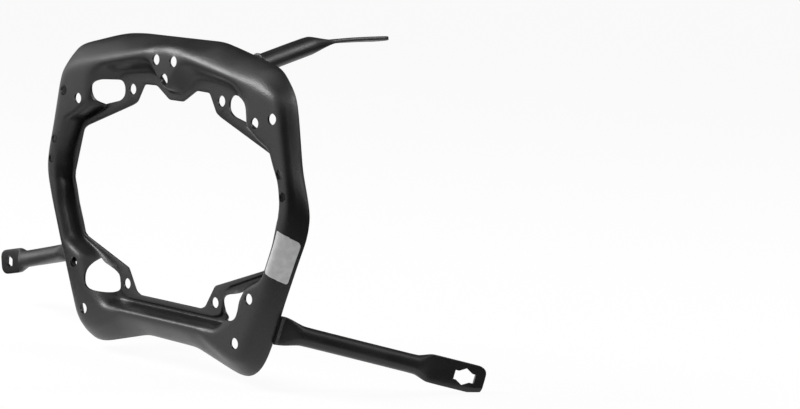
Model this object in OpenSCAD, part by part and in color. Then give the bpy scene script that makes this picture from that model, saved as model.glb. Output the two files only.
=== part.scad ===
// Pannier frame for the side of a motorcycle: a pressed steel ring with three welded tube struts.
// X runs along the motorcycle, Y points inward to it and Z is up.
// The origin lies on the outer land of the ring, in the middle of its outer bolt pattern.
// Heights below are measured from a datum line 19 mm under that middle, and placed() moves them there.

/* [Ring sheet] */
// Thickness of the pressed sheet
sheet_t = 2.2; // [1.8:0.1:2.6]
// Depth of the rim flange along the legs and the foot
rim_depth = 21; // [19:0.5:26]
// Depth of the rim flange along the top
rim_top_depth = 28; // [24:0.5:32]
// Reach of the rounded fold to each side of its corner
fold_reach = 5; // [3:0.5:6.5]
// Crown of the rim flange between its fold and its edge
rim_crown = 1; // [0:0.2:2]
// Depth of the inner lip and its tabs behind the outer land
lip_depth = 16; // [12:0.5:18]
// Further depth of the channel floor behind the lip
floor_drop = 4; // [1:0.5:5]

/* [Ring outline] */
// Height of the top fold at the middle
top_fold_z = 159.5; // [157:0.5:163]
// Height of the top rim edge
top_edge_z = 168; // [165:0.5:174]
// Half width of the legs at their widest fold
leg_fold_x = 178; // [175:0.5:184]
// Half width of the rim edge at its widest
leg_edge_x = 186; // [184:0.5:194]
// Depth of the feet below the datum line
foot_z = 140; // [137:0.5:146]
// Depth of the sill between the feet, below the datum line
sill_z = 123; // [120:0.5:128]
// Half width of the large opening at the legs
opening_x = 154; // [151:0.5:155]

/* [Bolt holes] */
// Diameter of the pannier bolt holes
hole_d = 10.5; // [8:0.5:11.5]
// Diameter of the small holes along the legs
leg_hole_d = 9; // [6:0.5:10]
// Half spacing of the outer bolt pattern
outer_bolt_x = 129.5; // [128:0.5:131]
// Height of its upper holes above the datum line
outer_bolt_top_z = 100; // [98:0.5:102]
// Height of its lower holes
outer_bolt_low_z = -62; // [-64:0.5:-60]
// Half spacing of the inner bolt pattern
inner_bolt_x = 65; // [64:0.5:66]
// Height of its upper holes
inner_bolt_top_z = 114; // [113:0.5:115]
// Height of its lower holes
inner_bolt_low_z = -76; // [-77:0.5:-75]

/* [Struts] */
// Outer diameter of the top and lower strut tubes
tube_d = 18; // [15:0.5:20]
// Outer diameter of the side strut tube
side_tube_d = 17.5; // [15:0.5:19]
// Wall of the strut tubes, which sets the thickness of their flattened ends
tube_wall = 2.1; // [1.6:0.1:2.5]
// Place of the top strut along the ring
top_strut_x = 99; // [94:0.5:104]
// Distance from the ring to the pinch of the top strut
top_pinch_y = 116; // [100:1:140]
// Distance from the ring to the tip of the top lug
top_tip_y = 189; // [170:1:220]
// Diameter of the bolt hole in the top lug
top_bore_d = 8.5; // [6:0.5:11]
// Lean of the top lug across its width, in degrees
top_lug_tilt = 8; // [0:1:12]
// Distance inward from the ring to the side lug
side_lug_y = 100; // [90:1:110]
// Distance along the motorcycle to the side lug's hole
side_lug_x = -365; // [-380:1:-340]
// Width across the flats of the hexagon hole in the side lug
side_hex_flats = 11.5; // [8:0.5:13]
// Distance inward from the ring to the lower lug's hole
lower_lug_y = 173; // [150:1:190]
// Width across the corners of the hexagon part of the keyed hole in the lower lug
lower_key_d = 17; // [14:0.5:18]
// Width of the slot part of that hole
lower_key_slot = 9.2; // [7:0.1:10]
// Length of its slot part
lower_key_length = 20.4; // [19:0.1:22]
// Distance from that hole's middle to the tip of the lug
lower_lug_reach = 19.7; // [17:0.1:23]

/* [Hidden] */
$fn = 48;

// Middle of the ring, which its outlines are seen from
ring_mid_z = 15;
pattern_z = (outer_bolt_top_z + outer_bolt_low_z) / 2;
// The smaller holes as [x, z], on both sides
rim_holes = [[152.5, 106], [112, -106], [12.5, 147]];
leg_holes = [[165, 57], [169.5, 37]];
lobe_hole_z = 129.5;
slot_round = 5;
black = [0.13, 0.13, 0.14];
dark = [0.09, 0.09, 0.10];

// Right halves of the ring's outlines as [x, z], from the top to the foot
fold_half = [[0, top_fold_z], [23, top_fold_z - 3], [100, top_fold_z - 18.5], [140, top_fold_z - 27.5],
    [leg_fold_x - 22.5, 126.5], [leg_fold_x - 17, 115], [leg_fold_x - 9, 80], [leg_fold_x - 2, 50],
    [leg_fold_x + 0.5, 33], [leg_fold_x - 1.5, 20], [leg_fold_x - 10.5, -5], [leg_fold_x - 34, -67],
    [leg_fold_x - 54, -112], [114, -121], [98, -121], [60, -105], [0, -105]];
edge_leg = [[leg_edge_x - 12, 60], [leg_edge_x - 4, 35], [leg_edge_x, 19], [leg_edge_x - 3.5, -1],
    [leg_edge_x - 13, -23], [leg_edge_x - 30.5, -66]];
edge_half = concat([[0, top_edge_z], [52, top_edge_z], [60, top_edge_z - 1.3], [92, top_edge_z - 8],
    [118, top_edge_z - 13.5], [leg_edge_x - 48, 150.5], [leg_edge_x - 34, 138], [leg_edge_x - 24, 126],
    [leg_edge_x - 20, 109]], edge_leg, [[leg_edge_x - 42.5, -100], [leg_edge_x - 50.5, -118],
    [127, -foot_z + 9], [113, -foot_z], [100, -foot_z], [84, -foot_z + 4], [36, -sill_z - 0.5], [0, -sill_z]]);
// The left half's rim edge, mirrored to the right: it flares further out at its two corners
edge_left = concat([[0, top_edge_z], [62, top_edge_z], [86, top_edge_z - 1.6], [104, top_edge_z - 5],
    [128, top_edge_z - 11], [leg_edge_x - 41, 153], [leg_edge_x - 31, 150], [leg_edge_x - 22, 143],
    [leg_edge_x - 16.5, 132], [leg_edge_x - 16.5, 112]], edge_leg, [[leg_edge_x - 41, -100],
    [leg_edge_x - 47, -119], [134, -foot_z + 11], [121, -foot_z + 1.5], [104, -foot_z + 0.5],
    [82, -foot_z + 6], [36, -sill_z + 0.5], [0, -sill_z]]);
land_half = [[0, 121], [8, 127], [21, 146], [30, 148], [100, 135], [117, 126], [120, 112], [115, 97],
    [130, 85.7], [148, 72], [160, 50], [164, 28], [157, -8], [144, -42], [122, -54], [118, -66],
    [114, -82], [84, -98.5], [0, -98.5]];
floor_half = [[0, 113], [10, 114], [25, 129], [36, 133], [60, 131.5], [84, 127], [90, 115], [93, 100],
    [112, 90], [143, 74], [158, 46], [159.5, 24], [153, -8], [139.5, -41], [104, -55], [88, -62], [84, -84],
    [78, -94], [0, -94]];
lip_half = [[0, 111], [12, 112], [31, 124.5], [52, 124.5], [72, 122], [76, 104], [141, 75], [154, 46],
    [156.5, 20], [149, -6], [136, -38], [86, -57], [76, -64], [74, -86], [62, -89.5], [0, -89.5]];
opening_half = [[0, 109], [10, 109], [29, 121], [48, 120.5], [58.5, 102.5], [65, 99], [135, 72],
    [opening_x - 14, 68.5], [opening_x, 18.5], [opening_x - 20, -36], [64.5, -60.5], [51.5, -82],
    [45, -85], [0, -85]];
top_slot = [[81, 121.5], [104, 120.5], [113, 116.5], [114.5, 108], [112.5, 98.5], [107.5, 95],
    [103, 96.5], [82, 101.5], [76, 107], [76, 116]];
low_slot = [[81, -66], [93, -63.8], [103, -60], [108.5, -55.5], [112, -60], [114, -68], [114, -76],
    [111.5, -83], [105, -86.3], [86, -88], [77.5, -84.5], [75.8, -78], [75.8, -70]];

function mix(a, b, t) = a + (b - a) * t;
function ease(a, b, x) = let (t = max(0, min(1, (x - a) / (b - a)))) t * t * (3 - 2 * t);
function mirrored(half) = [for (i = [len(half) - 1:-1:0]) [-half[i].x, half[i].y]];
function both_sides(half) = concat(half, mirrored(half));
function folded(a) = a > 90 ? 180 - a : a;

// Distance from the ring's middle to an outline, along the ray at angle a
function ray_hit(outline, a) = let (d = [cos(a), sin(a)], n = len(outline)) max([
    for (i = [0:n - 1])
        let (p = outline[i] - [0, ring_mid_z], e = outline[(i + 1) % n] - outline[i])
        let (den = d.x * e.y - d.y * e.x)
        if (abs(den) > 1e-9)
            let (s = (p.x * e.y - p.y * e.x) / den, u = (p.x * d.y - p.y * d.x) / den)
            if (s > 0 && u > -1e-6 && u < 1 + 1e-6) s]);
// The same distance with the outline's corners rounded over an angle
function soft_hit(outline, a, w) = (ray_hit(outline, a - w) + 2 * ray_hit(outline, a - w / 2)
    + 3 * ray_hit(outline, a) + 2 * ray_hit(outline, a + w / 2) + ray_hit(outline, a + w)) / 9;

fold_line = both_sides(fold_half);
edge_line = concat(edge_half, mirrored(edge_left));
land_line = both_sides(land_half);
floor_line = both_sides(floor_half);
lip_line = both_sides(lip_half);
opening_line = both_sides(opening_half);

// Share of the full channel depth at an angle: full along the legs and the sill
function channel_share(a) = max(ease(40, 31, a) * ease(-46, -38, a), ease(-48, -56, a));
function rim_depth_at(a) = mix(rim_depth, rim_top_depth, ease(30, 65, a));

// Section of the outer skin at an angle, from the rim edge to the opening, as [radius, depth]
function section(a) = let (
    f = folded(a),
    edge = [soft_hit(edge_line, a, 4), rim_depth_at(f)],
    corner = [soft_hit(fold_line, a, 3.5), 0],
    rim_dir = (edge - corner) / norm(edge - corner),
    p0 = corner - [fold_reach, 0],
    p2 = corner + fold_reach * rim_dir,
    crown = mix(p2, edge, 0.5) + rim_crown * [rim_dir.y, -rim_dir.x],
    r_open = soft_hit(opening_line, a, 1.6),
    r_lip = max(soft_hit(lip_line, a, 2), r_open + 3),
    r_floor = max(soft_hit(floor_line, a, 2), r_lip + 3),
    r_land = max(soft_hit(land_line, a, 2), r_floor + 3),
    floor_y = lip_depth + floor_drop * channel_share(f))
    concat([edge, crown],
        [for (t = [1, 0.66, 0.33, 0]) p0 * (1 - t) * (1 - t) + corner * 2 * t * (1 - t) + p2 * t * t],
        [[r_land, 0], [mix(r_land, r_floor, 0.3), 0.14 * floor_y], [mix(r_land, r_floor, 0.7), 0.86 * floor_y],
         [r_floor, floor_y], [r_lip + 1.2, floor_y], [r_lip, lip_depth], [r_open, lip_depth]]);

module placed() {
    translate([0, 0, -pattern_z]) children();
}

function skin_point(a, s) = [s.x * cos(a), s.y, ring_mid_z + s.x * sin(a)];

top_step = 2;
leg_step = 3.5;
stations = concat([for (a = [-90:3:-45]) a], [for (a = [-42:leg_step:35]) a], [for (a = [37:top_step:143]) a],
    [for (a = [145:leg_step:222]) a], [for (a = [225:3:267]) a]);

// Outer skin and its inward offset by the sheet's thickness, as a grid of points
function skin(angles) = [for (a = angles) let (s = section(a)) [for (p = s) skin_point(a, p)]];
function skin_normal(g, i, k, loop) = let (
    n = len(g), m = len(g[0]),
    i0 = loop ? (i + n - 1) % n : max(i - 1, 0),
    i1 = loop ? (i + 1) % n : min(i + 1, n - 1),
    c = cross(g[i1][k] - g[i0][k], g[i][min(k + 1, m - 1)] - g[i][max(k - 1, 0)]))
    c / norm(c);
function inner_skin(g, loop) = [for (i = [0:len(g) - 1])
    [for (k = [0:len(g[0]) - 1]) g[i][k] - sheet_t * skin_normal(g, i, k, loop)]];
function reversed(v) = [for (i = [len(v) - 1:-1:0]) v[i]];
function flat_list(v) = [for (a = v) for (b = a) b];

// Solid between closed rings of points that follow each other along a path
module loft(rings, loop = false, strip = false) {
    n = len(rings);
    m = len(rings[0]);
    side = flat_list([for (i = [0:n - (loop ? 1 : 2)]) for (j = [0:m - 1])
        let (a = i * m + j, b = i * m + (j + 1) % m, c = ((i + 1) % n) * m + (j + 1) % m,
             d = ((i + 1) % n) * m + j)
        [[a, b, c], [a, c, d]]]);
    last = (n - 1) * m;
    half = m / 2;
    strip_ends = flat_list([for (k = [0:half - 2])
        [[k, m - 1 - k, m - 2 - k, k + 1],
         [last + k, last + k + 1, last + m - 2 - k, last + m - 1 - k]]]);
    plain_ends = [reversed([for (j = [0:m - 1]) j]), [for (j = [0:m - 1]) last + j]];
    ends = loop ? [] : (strip ? strip_ends : plain_ends);
    polyhedron(points = flat_list(rings), faces = concat(side, ends), convexity = 10);
}

// The pressed sheet over a run of angles
module sheet(angles, loop) {
    outer = skin(angles);
    inner = inner_skin(outer, loop);
    loft([for (i = [0:len(angles) - 1]) concat(outer[i], reversed(inner[i]))], loop, true);
}

// The space outside the rim flange, its fold and the land, up to the inner skin
module outside(angles, reach = 30) {
    g = skin(angles);
    inner = inner_skin(g, false);
    loft([for (i = [0:len(angles) - 1]) concat(
        [for (k = [0:6]) g[i][k] + reach * skin_normal(g, i, k, false)],
        [for (k = [6:-1:0]) inner[i][k]])], false, true);
}

// Hole along Y from the front to a depth
module bore(x, z, d, depth) {
    translate([x, -6, z]) rotate([-90, 0, 0]) cylinder(d = d, h = 6 + depth);
}

// Outline with each corner rounded by a short curve
function rounded(outline, reach) = let (n = len(outline)) [for (i = [0:n - 1])
    let (p = outline[i], a = outline[(i + n - 1) % n], b = outline[(i + 1) % n],
         p0 = p + min(reach, norm(a - p) * 0.48) * (a - p) / norm(a - p),
         p2 = p + min(reach, norm(b - p) * 0.48) * (b - p) / norm(b - p))
    for (t = [0:0.25:1]) p0 * (1 - t) * (1 - t) + p * 2 * t * (1 - t) + p2 * t * t];

module slot(outline, side) {
    pts = [for (p = outline) [side * p.x, -p.y]];
    translate([0, -6, 0]) rotate([-90, 0, 0]) linear_extrude(36) polygon(rounded(pts, slot_round));
}

module ring_plate() {
    land_depth = 8;
    tab_depth = 26;
    color(black) placed() difference() {
        sheet(stations, true);
        for (side = [-1, 1]) {
            bore(side * outer_bolt_x, outer_bolt_top_z, hole_d, land_depth);
            bore(side * outer_bolt_x, outer_bolt_low_z, hole_d, land_depth);
            bore(side * inner_bolt_x, inner_bolt_top_z, hole_d, tab_depth);
            bore(side * inner_bolt_x, inner_bolt_low_z, hole_d, tab_depth);
            for (p = rim_holes) bore(side * p.x, p.y, hole_d, land_depth);
            for (p = leg_holes) bore(side * p.x, p.y, leg_hole_d, land_depth);
            slot(top_slot, side);
            slot(low_slot, side);
        }
        bore(0, lobe_hole_z, hole_d, land_depth);
    }
}

// Section of a strut, from a round tube to a flat bar with rounded edges
flat_t = 2 * tube_wall;
side_points = 24;
function bar_section(c, t, w, width, thick, square) = let (
    along = t / norm(t),
    across = (w - (w * along) * along) / norm(w - (w * along) * along),
    through = cross(along, across),
    p = mix(1, 0.32, square))
    [for (j = [0:side_points - 1]) let (a = 360 * j / side_points)
        c + across * (width / 2) * sign(cos(a)) * pow(abs(cos(a)), p)
          + through * (thick / 2) * sign(sin(a)) * pow(abs(sin(a)), p)];
// A strut as stations of [centre, width, thickness, squareness]
function strut_rings(path, w) = [for (i = [0:len(path) - 1])
    let (t = path[min(i + 1, len(path) - 1)][0] - path[max(i - 1, 0)][0])
    bar_section(path[i][0], t, w, path[i][1], path[i][2], path[i][3])];
function flat_w(d) = PI * (d - tube_wall) / 2 + tube_wall;
// Rounded tip of a flattened end, from the full width to the very end
function tip(from, dir, d) = [for (s = [[0, 1], [3, 0.97], [6, 0.88], [8, 0.74], [9, 0.5]])
    [from + s[0] * dir, flat_w(d) * s[1], flat_t, 1]];
// Smooth change of a strut from flat to round over a run of places
function change(a, b, d, to_round) = [for (t = [0:0.2:1])
    let (u = to_round ? ease(0, 1, t) : ease(1, 0, t))
    [mix(a, b, t), mix(flat_w(d), d, u), mix(flat_t, d, u), 1 - u]];

// The top strut ends inside the rim flange, leans up as it runs inward and has a nearly level lug
top_rise = 0.2;
top_root = [top_strut_x, rim_top_depth, top_edge_z - 18];
top_pinch = [top_strut_x, top_pinch_y, top_edge_z + 2];
top_lug_z = top_pinch.z + 2;
module top_strut() {
    buried = rim_top_depth + 1;
    start = top_root - [0, buried, buried * top_rise];
    bend = top_pinch - [0, 26, 3.5];
    path = concat([[start, tube_d, tube_d, 0], [top_root, tube_d, tube_d, 0]],
        change(bend, top_pinch, tube_d, false), [[top_pinch + [0, 10, 2], flat_w(tube_d), flat_t, 1]],
        tip([top_strut_x, top_tip_y - 9, top_lug_z], [0, 1, 0], tube_d));
    color(dark) placed() difference() {
        loft(strut_rings(path, [cos(top_lug_tilt), 0, sin(top_lug_tilt)]));
        translate([top_strut_x, top_tip_y - 14, top_lug_z]) rotate([0, -top_lug_tilt, 0])
            cylinder(d = top_bore_d, h = 20, center = true);
        outside([for (a = [37:top_step:67]) a]);
        sheet([for (a = [37:top_step:67]) a], false);
    }
}

// The side strut's flattened root lies across the back of the leg, on the rim edge and the channel floor
side_sink = 0.3;
side_seat_y = max(rim_depth, lip_depth + floor_drop + sheet_t) - side_sink;
module side_strut() {
    y0 = side_seat_y + flat_t / 2;
    lug = [side_lug_x, side_lug_y, -101];
    bend = lug + [16, 0, 3.5];
    path = concat(reversed(tip([-146, y0, -50.5], [1, 0, 0.2], side_tube_d)),
        change([-159, y0, -54.3], [-181, y0 + 3.9, -62.2], side_tube_d, true),
        change(bend + [30, -13.5, 6.5], bend, side_tube_d, false),
        tip(lug - [5, 0, 1], [-1, 0, -0.15], side_tube_d));
    color(dark) placed() difference() {
        loft(strut_rings(path, [0, 0, 1]));
        translate(lug) rotate([90, 30, 0]) cylinder(d = side_hex_flats / cos(30), h = 20, center = true, $fn = 6);
        sheet([for (a = [183.5:leg_step:222]) a], false);
    }
}

// The lower strut's flattened root lies inside the rim flange, and its tube turns down from there
lower_dir = [0.525, 0.817, -0.238];
lower_root_z = -90;
lower_lay = let (s = section(-37), d = s[0] - s[3]) d / norm(d);
lower_root = [leg_edge_x - 40.2, rim_depth + 1, lower_root_z];
module lower_strut() {
    run = (lower_lug_y - lower_root.y) / lower_dir.y;
    lug = lower_root + run * lower_dir;
    lay = [lower_lay.x, lower_lay.y, 0];
    path = concat([[lower_root - 16 * lay, flat_w(tube_d), flat_t, 1], [lower_root, flat_w(tube_d), flat_t, 1]],
        change(lower_root + 3 * lower_dir, lower_root + 28 * lower_dir, tube_d, true),
        change(lug - 51 * lower_dir, lug - 32 * lower_dir, tube_d, false),
        tip(lug + (lower_lug_reach - 9) * lower_dir, lower_dir, tube_d));
    color(dark) placed() difference() {
        loft(strut_rings(path, [0, 0, 1]));
        translate(lug) rotate([0, 0, atan2(lower_dir.y, lower_dir.x)]) rotate([90, 0, 0])
            rotate(asin(lower_dir.z / norm(lower_dir))) {
                rotate(30) cylinder(d = lower_key_d, h = 30, center = true, $fn = 6);
                cube([lower_key_length, lower_key_slot, 30], center = true);
            }
        outside(concat([-48, -45], [for (a = [-42:leg_step:-17.5]) a]));
    }
}

// The brace closes the back of the top channel, from a foot on the recess floor to the rim flange
brace_from = 109;
brace_to = 125;
module top_brace() {
    rings = [for (a = [brace_from:top_step:brace_to])
        let (s = section(a), seat = s[9].y + sheet_t - 0.3, foot = [s[9].x - 11, seat], fold = [s[9].x - 3, seat],
             up = [s[0].x, s[0].y - 5], run = (up - fold) / norm(up - fold), across = sheet_t * [-run.y, run.x])
        [skin_point(a, up), skin_point(a, fold), skin_point(a, foot), skin_point(a, foot + [0, sheet_t]),
         skin_point(a, fold + [-0.4, sheet_t]), skin_point(a, up + across)]];
    patch = [for (a = [brace_from - 4:top_step:brace_to + 4]) a];
    color(black) placed() difference() {
        loft(rings);
        outside(patch);
        sheet(patch, false);
    }
}

ring_plate();
top_strut();
side_strut();
lower_strut();
top_brace();
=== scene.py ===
"""Pannier frame of a motorcycle in a plain studio: pressed ring, struts, brace, welds and a blank label."""

import logging
import math
from dataclasses import dataclass, field
from enum import Enum

import bmesh
import bpy
import numpy as np
from mathutils import Matrix, Vector


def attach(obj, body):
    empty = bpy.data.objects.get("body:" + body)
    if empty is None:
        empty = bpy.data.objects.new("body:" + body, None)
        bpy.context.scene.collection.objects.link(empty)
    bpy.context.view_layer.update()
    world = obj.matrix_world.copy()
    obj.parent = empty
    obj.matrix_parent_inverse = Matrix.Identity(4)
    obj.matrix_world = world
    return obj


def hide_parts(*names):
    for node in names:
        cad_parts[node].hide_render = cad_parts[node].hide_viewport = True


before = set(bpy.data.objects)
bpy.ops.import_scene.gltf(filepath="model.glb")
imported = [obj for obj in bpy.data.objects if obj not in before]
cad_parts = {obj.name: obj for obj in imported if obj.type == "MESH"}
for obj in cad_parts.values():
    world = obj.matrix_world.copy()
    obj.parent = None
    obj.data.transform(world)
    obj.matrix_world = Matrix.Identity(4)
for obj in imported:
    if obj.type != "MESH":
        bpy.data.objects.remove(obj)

log = logging.getLogger("pannier_frame")
MM = 0.001
DATUM_Z = 19.0
CORNER_SHARE = 0.48
LEAST_LENGTH = 1e-12
NEARLY_ZERO = 1e-9
SLACK = 1e-6
SOFTEN_SAMPLES = 9
SOFTEN_WEIGHT = 1.15
BODY = "root"
WHITE = (1.0, 1.0, 1.0, 1.0)
CLOUD_SPAN = (0.3, 0.7)
UPRIGHT = (0.0, 0.0, 1.0)
FLOOR_Z = -0.1675
CARD_FOOT = FLOOR_Z + 0.004
SIDE_TOP = 0.34
BACK_TOP = 1.6
Half = tuple[tuple[float, float], ...]
Point = tuple[float, float, float]
Faces = list[tuple[int, ...]]
Socket = bpy.types.NodeSocket


class Side(Enum):
    """The two halves of the ring, as the sign of X."""

    LEFT = -1
    RIGHT = 1


class Shine(Enum):
    """How glossy a surface is, as the roughness of its shader."""

    SEMI_GLOSS = 0.37
    SATIN = 0.5


class Solver(Enum):
    """The two ways to take one mesh out of another."""

    EXACT = "EXACT"
    FAST = "FAST"


def unit(v: np.ndarray) -> np.ndarray:
    """Returns v with its last axis scaled to length 1."""
    return v / np.maximum(np.linalg.norm(v, axis=-1, keepdims=True), LEAST_LENGTH)


def ease(a: float, b: float, x: np.ndarray | float) -> np.ndarray:
    """Returns shares that change smoothly from 0 where x is a to 1 where x is b."""
    t = np.clip((np.asarray(x, float) - a) / (b - a), 0.0, 1.0)
    return t * t * (3 - 2 * t)


def toward(here: np.ndarray, other: np.ndarray, reach: float) -> np.ndarray:
    """Where the rounding of a corner starts, on the way to the next corner.

    Args:
        here: The corner, or rows of corners.
        other: The next corner, or rows of them.
        reach: Length of the rounding, which is held short of half the way.

    Returns:
        The place, or rows of places.
    """
    way = other - here
    length = np.minimum(reach, CORNER_SHARE * np.linalg.norm(way, axis=-1, keepdims=True))
    return here + length * unit(way)


def rounding(
    before: np.ndarray, here: np.ndarray, after: np.ndarray, reach: float, steps: int
) -> list[np.ndarray]:
    """Returns points, in order, of a curve that rounds the middle one of three corners."""
    a, b = toward(here, before, reach), toward(here, after, reach)
    return [a * (1 - t) ** 2 + here * 2 * t * (1 - t) + b * t * t for t in np.linspace(0, 1, steps)]


def rounded(outline: Half, reach: float, steps: int = 9) -> np.ndarray:
    """Outline with each corner rounded by a short curve.

    Args:
        outline: Corners as (x, z).
        reach: Length of the rounding on each side of a corner.
        steps: Number of points at each corner.

    Returns:
        Points as (x, z) rows.
    """
    p = np.array(outline, float)
    made = []
    for here, before, after in zip(p, np.roll(p, 1, axis=0), np.roll(p, -1, axis=0)):
        made += rounding(before, here, after, reach, steps)
    return np.array(made)


def circle(diameter: float, count: int = 40, turn: float = 0.0) -> np.ndarray:
    """Corners of a regular polygon or circle, as (across, up) rows."""
    a = np.linspace(0, 2 * math.pi, count, endpoint=False) + turn
    return np.stack([np.cos(a), np.sin(a)], axis=-1) * diameter / 2


def grid_faces(rows: int, columns: int, loop_rows: bool, loop_columns: bool) -> Faces:
    """Quads between neighbouring rows and columns of a grid of points.

    Args:
        rows: Number of rows.
        columns: Number of points in a row.
        loop_rows: Whether the last row joins the first.
        loop_columns: Whether the last point of a row joins its first.

    Returns:
        Vertex indices of each face.
    """
    i = np.arange(rows if loop_rows else rows - 1)
    j = np.arange(columns if loop_columns else columns - 1)
    ii, jj = np.meshgrid(i, j, indexing="ij")
    i1, j1 = (ii + 1) % rows, (jj + 1) % columns
    first, second = ii * columns, i1 * columns
    quads = np.stack([first + jj, first + j1, second + j1, second + jj], axis=-1)
    return [tuple(int(k) for k in q) for q in quads.reshape(-1, 4)]


def tube_faces(rows: int, columns: int) -> Faces:
    """Faces of a closed tube, with a cap at each end.

    Args:
        rows: Number of sections along the tube.
        columns: Number of points around a section.

    Returns:
        Vertex indices of each face.
    """
    faces = grid_faces(rows, columns, False, True)
    faces.append(tuple(reversed(range(columns))))
    faces.append(tuple((rows - 1) * columns + k for k in range(columns)))
    return faces


def film_faces(rows: int, columns: int) -> Faces:
    """Faces of a thin closed film, whose upper points come before its lower ones.

    Args:
        rows: Number of rows of each layer.
        columns: Number of points in a row.

    Returns:
        Vertex indices of each face.
    """
    upper = grid_faces(rows, columns, False, False)
    count = rows * columns
    lower = [tuple(count + k for k in reversed(face)) for face in upper]
    border = [(0, k) for k in range(columns - 1)]
    border += [(k, columns - 1) for k in range(rows - 1)]
    border += [(rows - 1, k) for k in range(columns - 1, 0, -1)]
    border += [(k, 0) for k in range(rows - 1, 0, -1)]
    loop = [r * columns + c for r, c in border]
    return upper + lower + [(p, q, count + q, count + p) for p, q in zip(loop, loop[1:] + loop[:1])]


def between(grid: np.ndarray, row: np.ndarray, column: np.ndarray) -> np.ndarray:
    """Values of a grid between its points.

    Args:
        grid: Points by row and column.
        row: Places to read, in rows.
        column: Places to read, in columns.

    Returns:
        Points at those places.
    """
    i, j = np.floor(row).astype(int), np.floor(column).astype(int)
    s, t = (row - i)[..., None], (column - j)[..., None]
    first = grid[i, j] * (1 - t) + grid[i, j + 1] * t
    second = grid[i + 1, j] * (1 - t) + grid[i + 1, j + 1] * t
    return first * (1 - s) + second * s


def add_object(name: str, data: bpy.types.ID) -> bpy.types.Object:
    """Adds an object to the scene.

    Args:
        name: Name of the object.
        data: Its mesh, lamp or camera.

    Returns:
        The linked object.
    """
    made = bpy.data.objects.new(name, data)
    bpy.context.scene.collection.objects.link(made)
    return made


def make_object(name: str, points_mm: np.ndarray, faces: Faces) -> bpy.types.Object:
    """Makes a smooth mesh object from points in millimetres, measured from the ring's datum line.

    Args:
        name: Name of the piece.
        points_mm: Points, with any leading shape.
        faces: Vertex indices of each face.

    Returns:
        The linked object, in the row frame.
    """
    co = np.asarray(points_mm, float).reshape(-1, 3) - [0.0, 0.0, DATUM_Z]
    mesh = bpy.data.meshes.new(name)
    mesh.from_pydata((co * MM).tolist(), [], faces)
    mesh.validate()
    mesh.shade_smooth()
    made = add_object(name, mesh)
    fix_normals(made)
    return made


def fix_normals(piece: bpy.types.Object) -> None:
    """Turns every face of a piece outward.

    Args:
        piece: A closed piece.
    """
    bm = bmesh.new()
    bm.from_mesh(piece.data)
    bmesh.ops.recalc_face_normals(bm, faces=bm.faces)
    bm.to_mesh(piece.data)
    bm.free()


def rod(at: np.ndarray, way: np.ndarray, corners: np.ndarray, reach: float = 16.0) -> bpy.types.Object:
    """Closed prism for cutting a hole through a lug.

    Args:
        at: Middle of the hole.
        way: Direction of the hole.
        corners: Outline as (across, up) rows in millimetres, where up is as near +Z as it can be.
        reach: Half of the prism's length.

    Returns:
        The cutter.
    """
    way = unit(np.asarray(way, float))
    guess = np.array([0.0, 1.0, 0.0]) if abs(way[2]) > 0.7 else np.array(UPRIGHT)
    side = unit(np.cross(guess, way))
    up = np.cross(way, side)
    flat = at + corners[:, :1] * side + corners[:, 1:] * up
    ends = np.array([flat - reach * way, flat + reach * way])
    return make_object("rod_cutter", ends, tube_faces(2, len(corners)))


def cut(piece: bpy.types.Object, cutters: list[bpy.types.Object], solver: Solver = Solver.EXACT) -> None:
    """Takes the cutters' space out of a piece, and deletes them.

    Args:
        piece: The piece that is cut.
        cutters: Closed meshes.
        solver: The way to cut.
    """
    for cutter in cutters:
        change = piece.modifiers.new("cut", "BOOLEAN")
        change.operation = "DIFFERENCE"
        change.solver = solver.value
        change.object = cutter
    bpy.context.view_layer.update()
    depsgraph = bpy.context.evaluated_depsgraph_get()
    mesh = bpy.data.meshes.new_from_object(piece.evaluated_get(depsgraph))
    piece.modifiers.clear()
    piece.data = mesh
    for cutter in cutters:
        bpy.data.objects.remove(cutter)


def soft_edges(piece: bpy.types.Object, degrees: float = 34.0) -> None:
    """Smooth shading that keeps edges sharper than an angle."""
    piece.data.shade_smooth()
    piece.data.set_sharp_from_angle(angle=math.radians(degrees))


def dress(piece: bpy.types.Object, coat: bpy.types.Material, node: str | None = None) -> bpy.types.Object:
    """Gives a piece its coat and its body, and hides the CAD node that it stands for.

    Args:
        piece: The new piece.
        coat: Its material.
        node: Name of the CAD node that it replaces, if any.

    Returns:
        The same piece.
    """
    piece.data.materials.clear()
    piece.data.materials.append(coat)
    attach(piece, BODY)
    if node:
        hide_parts(node)
    return piece


def new_material(name: str) -> bpy.types.Material:
    """Makes a material that has nodes.

    Args:
        name: Name of the material.

    Returns:
        The material.
    """
    made = bpy.data.materials.new(name)
    made.use_nodes = True
    return made


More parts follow.
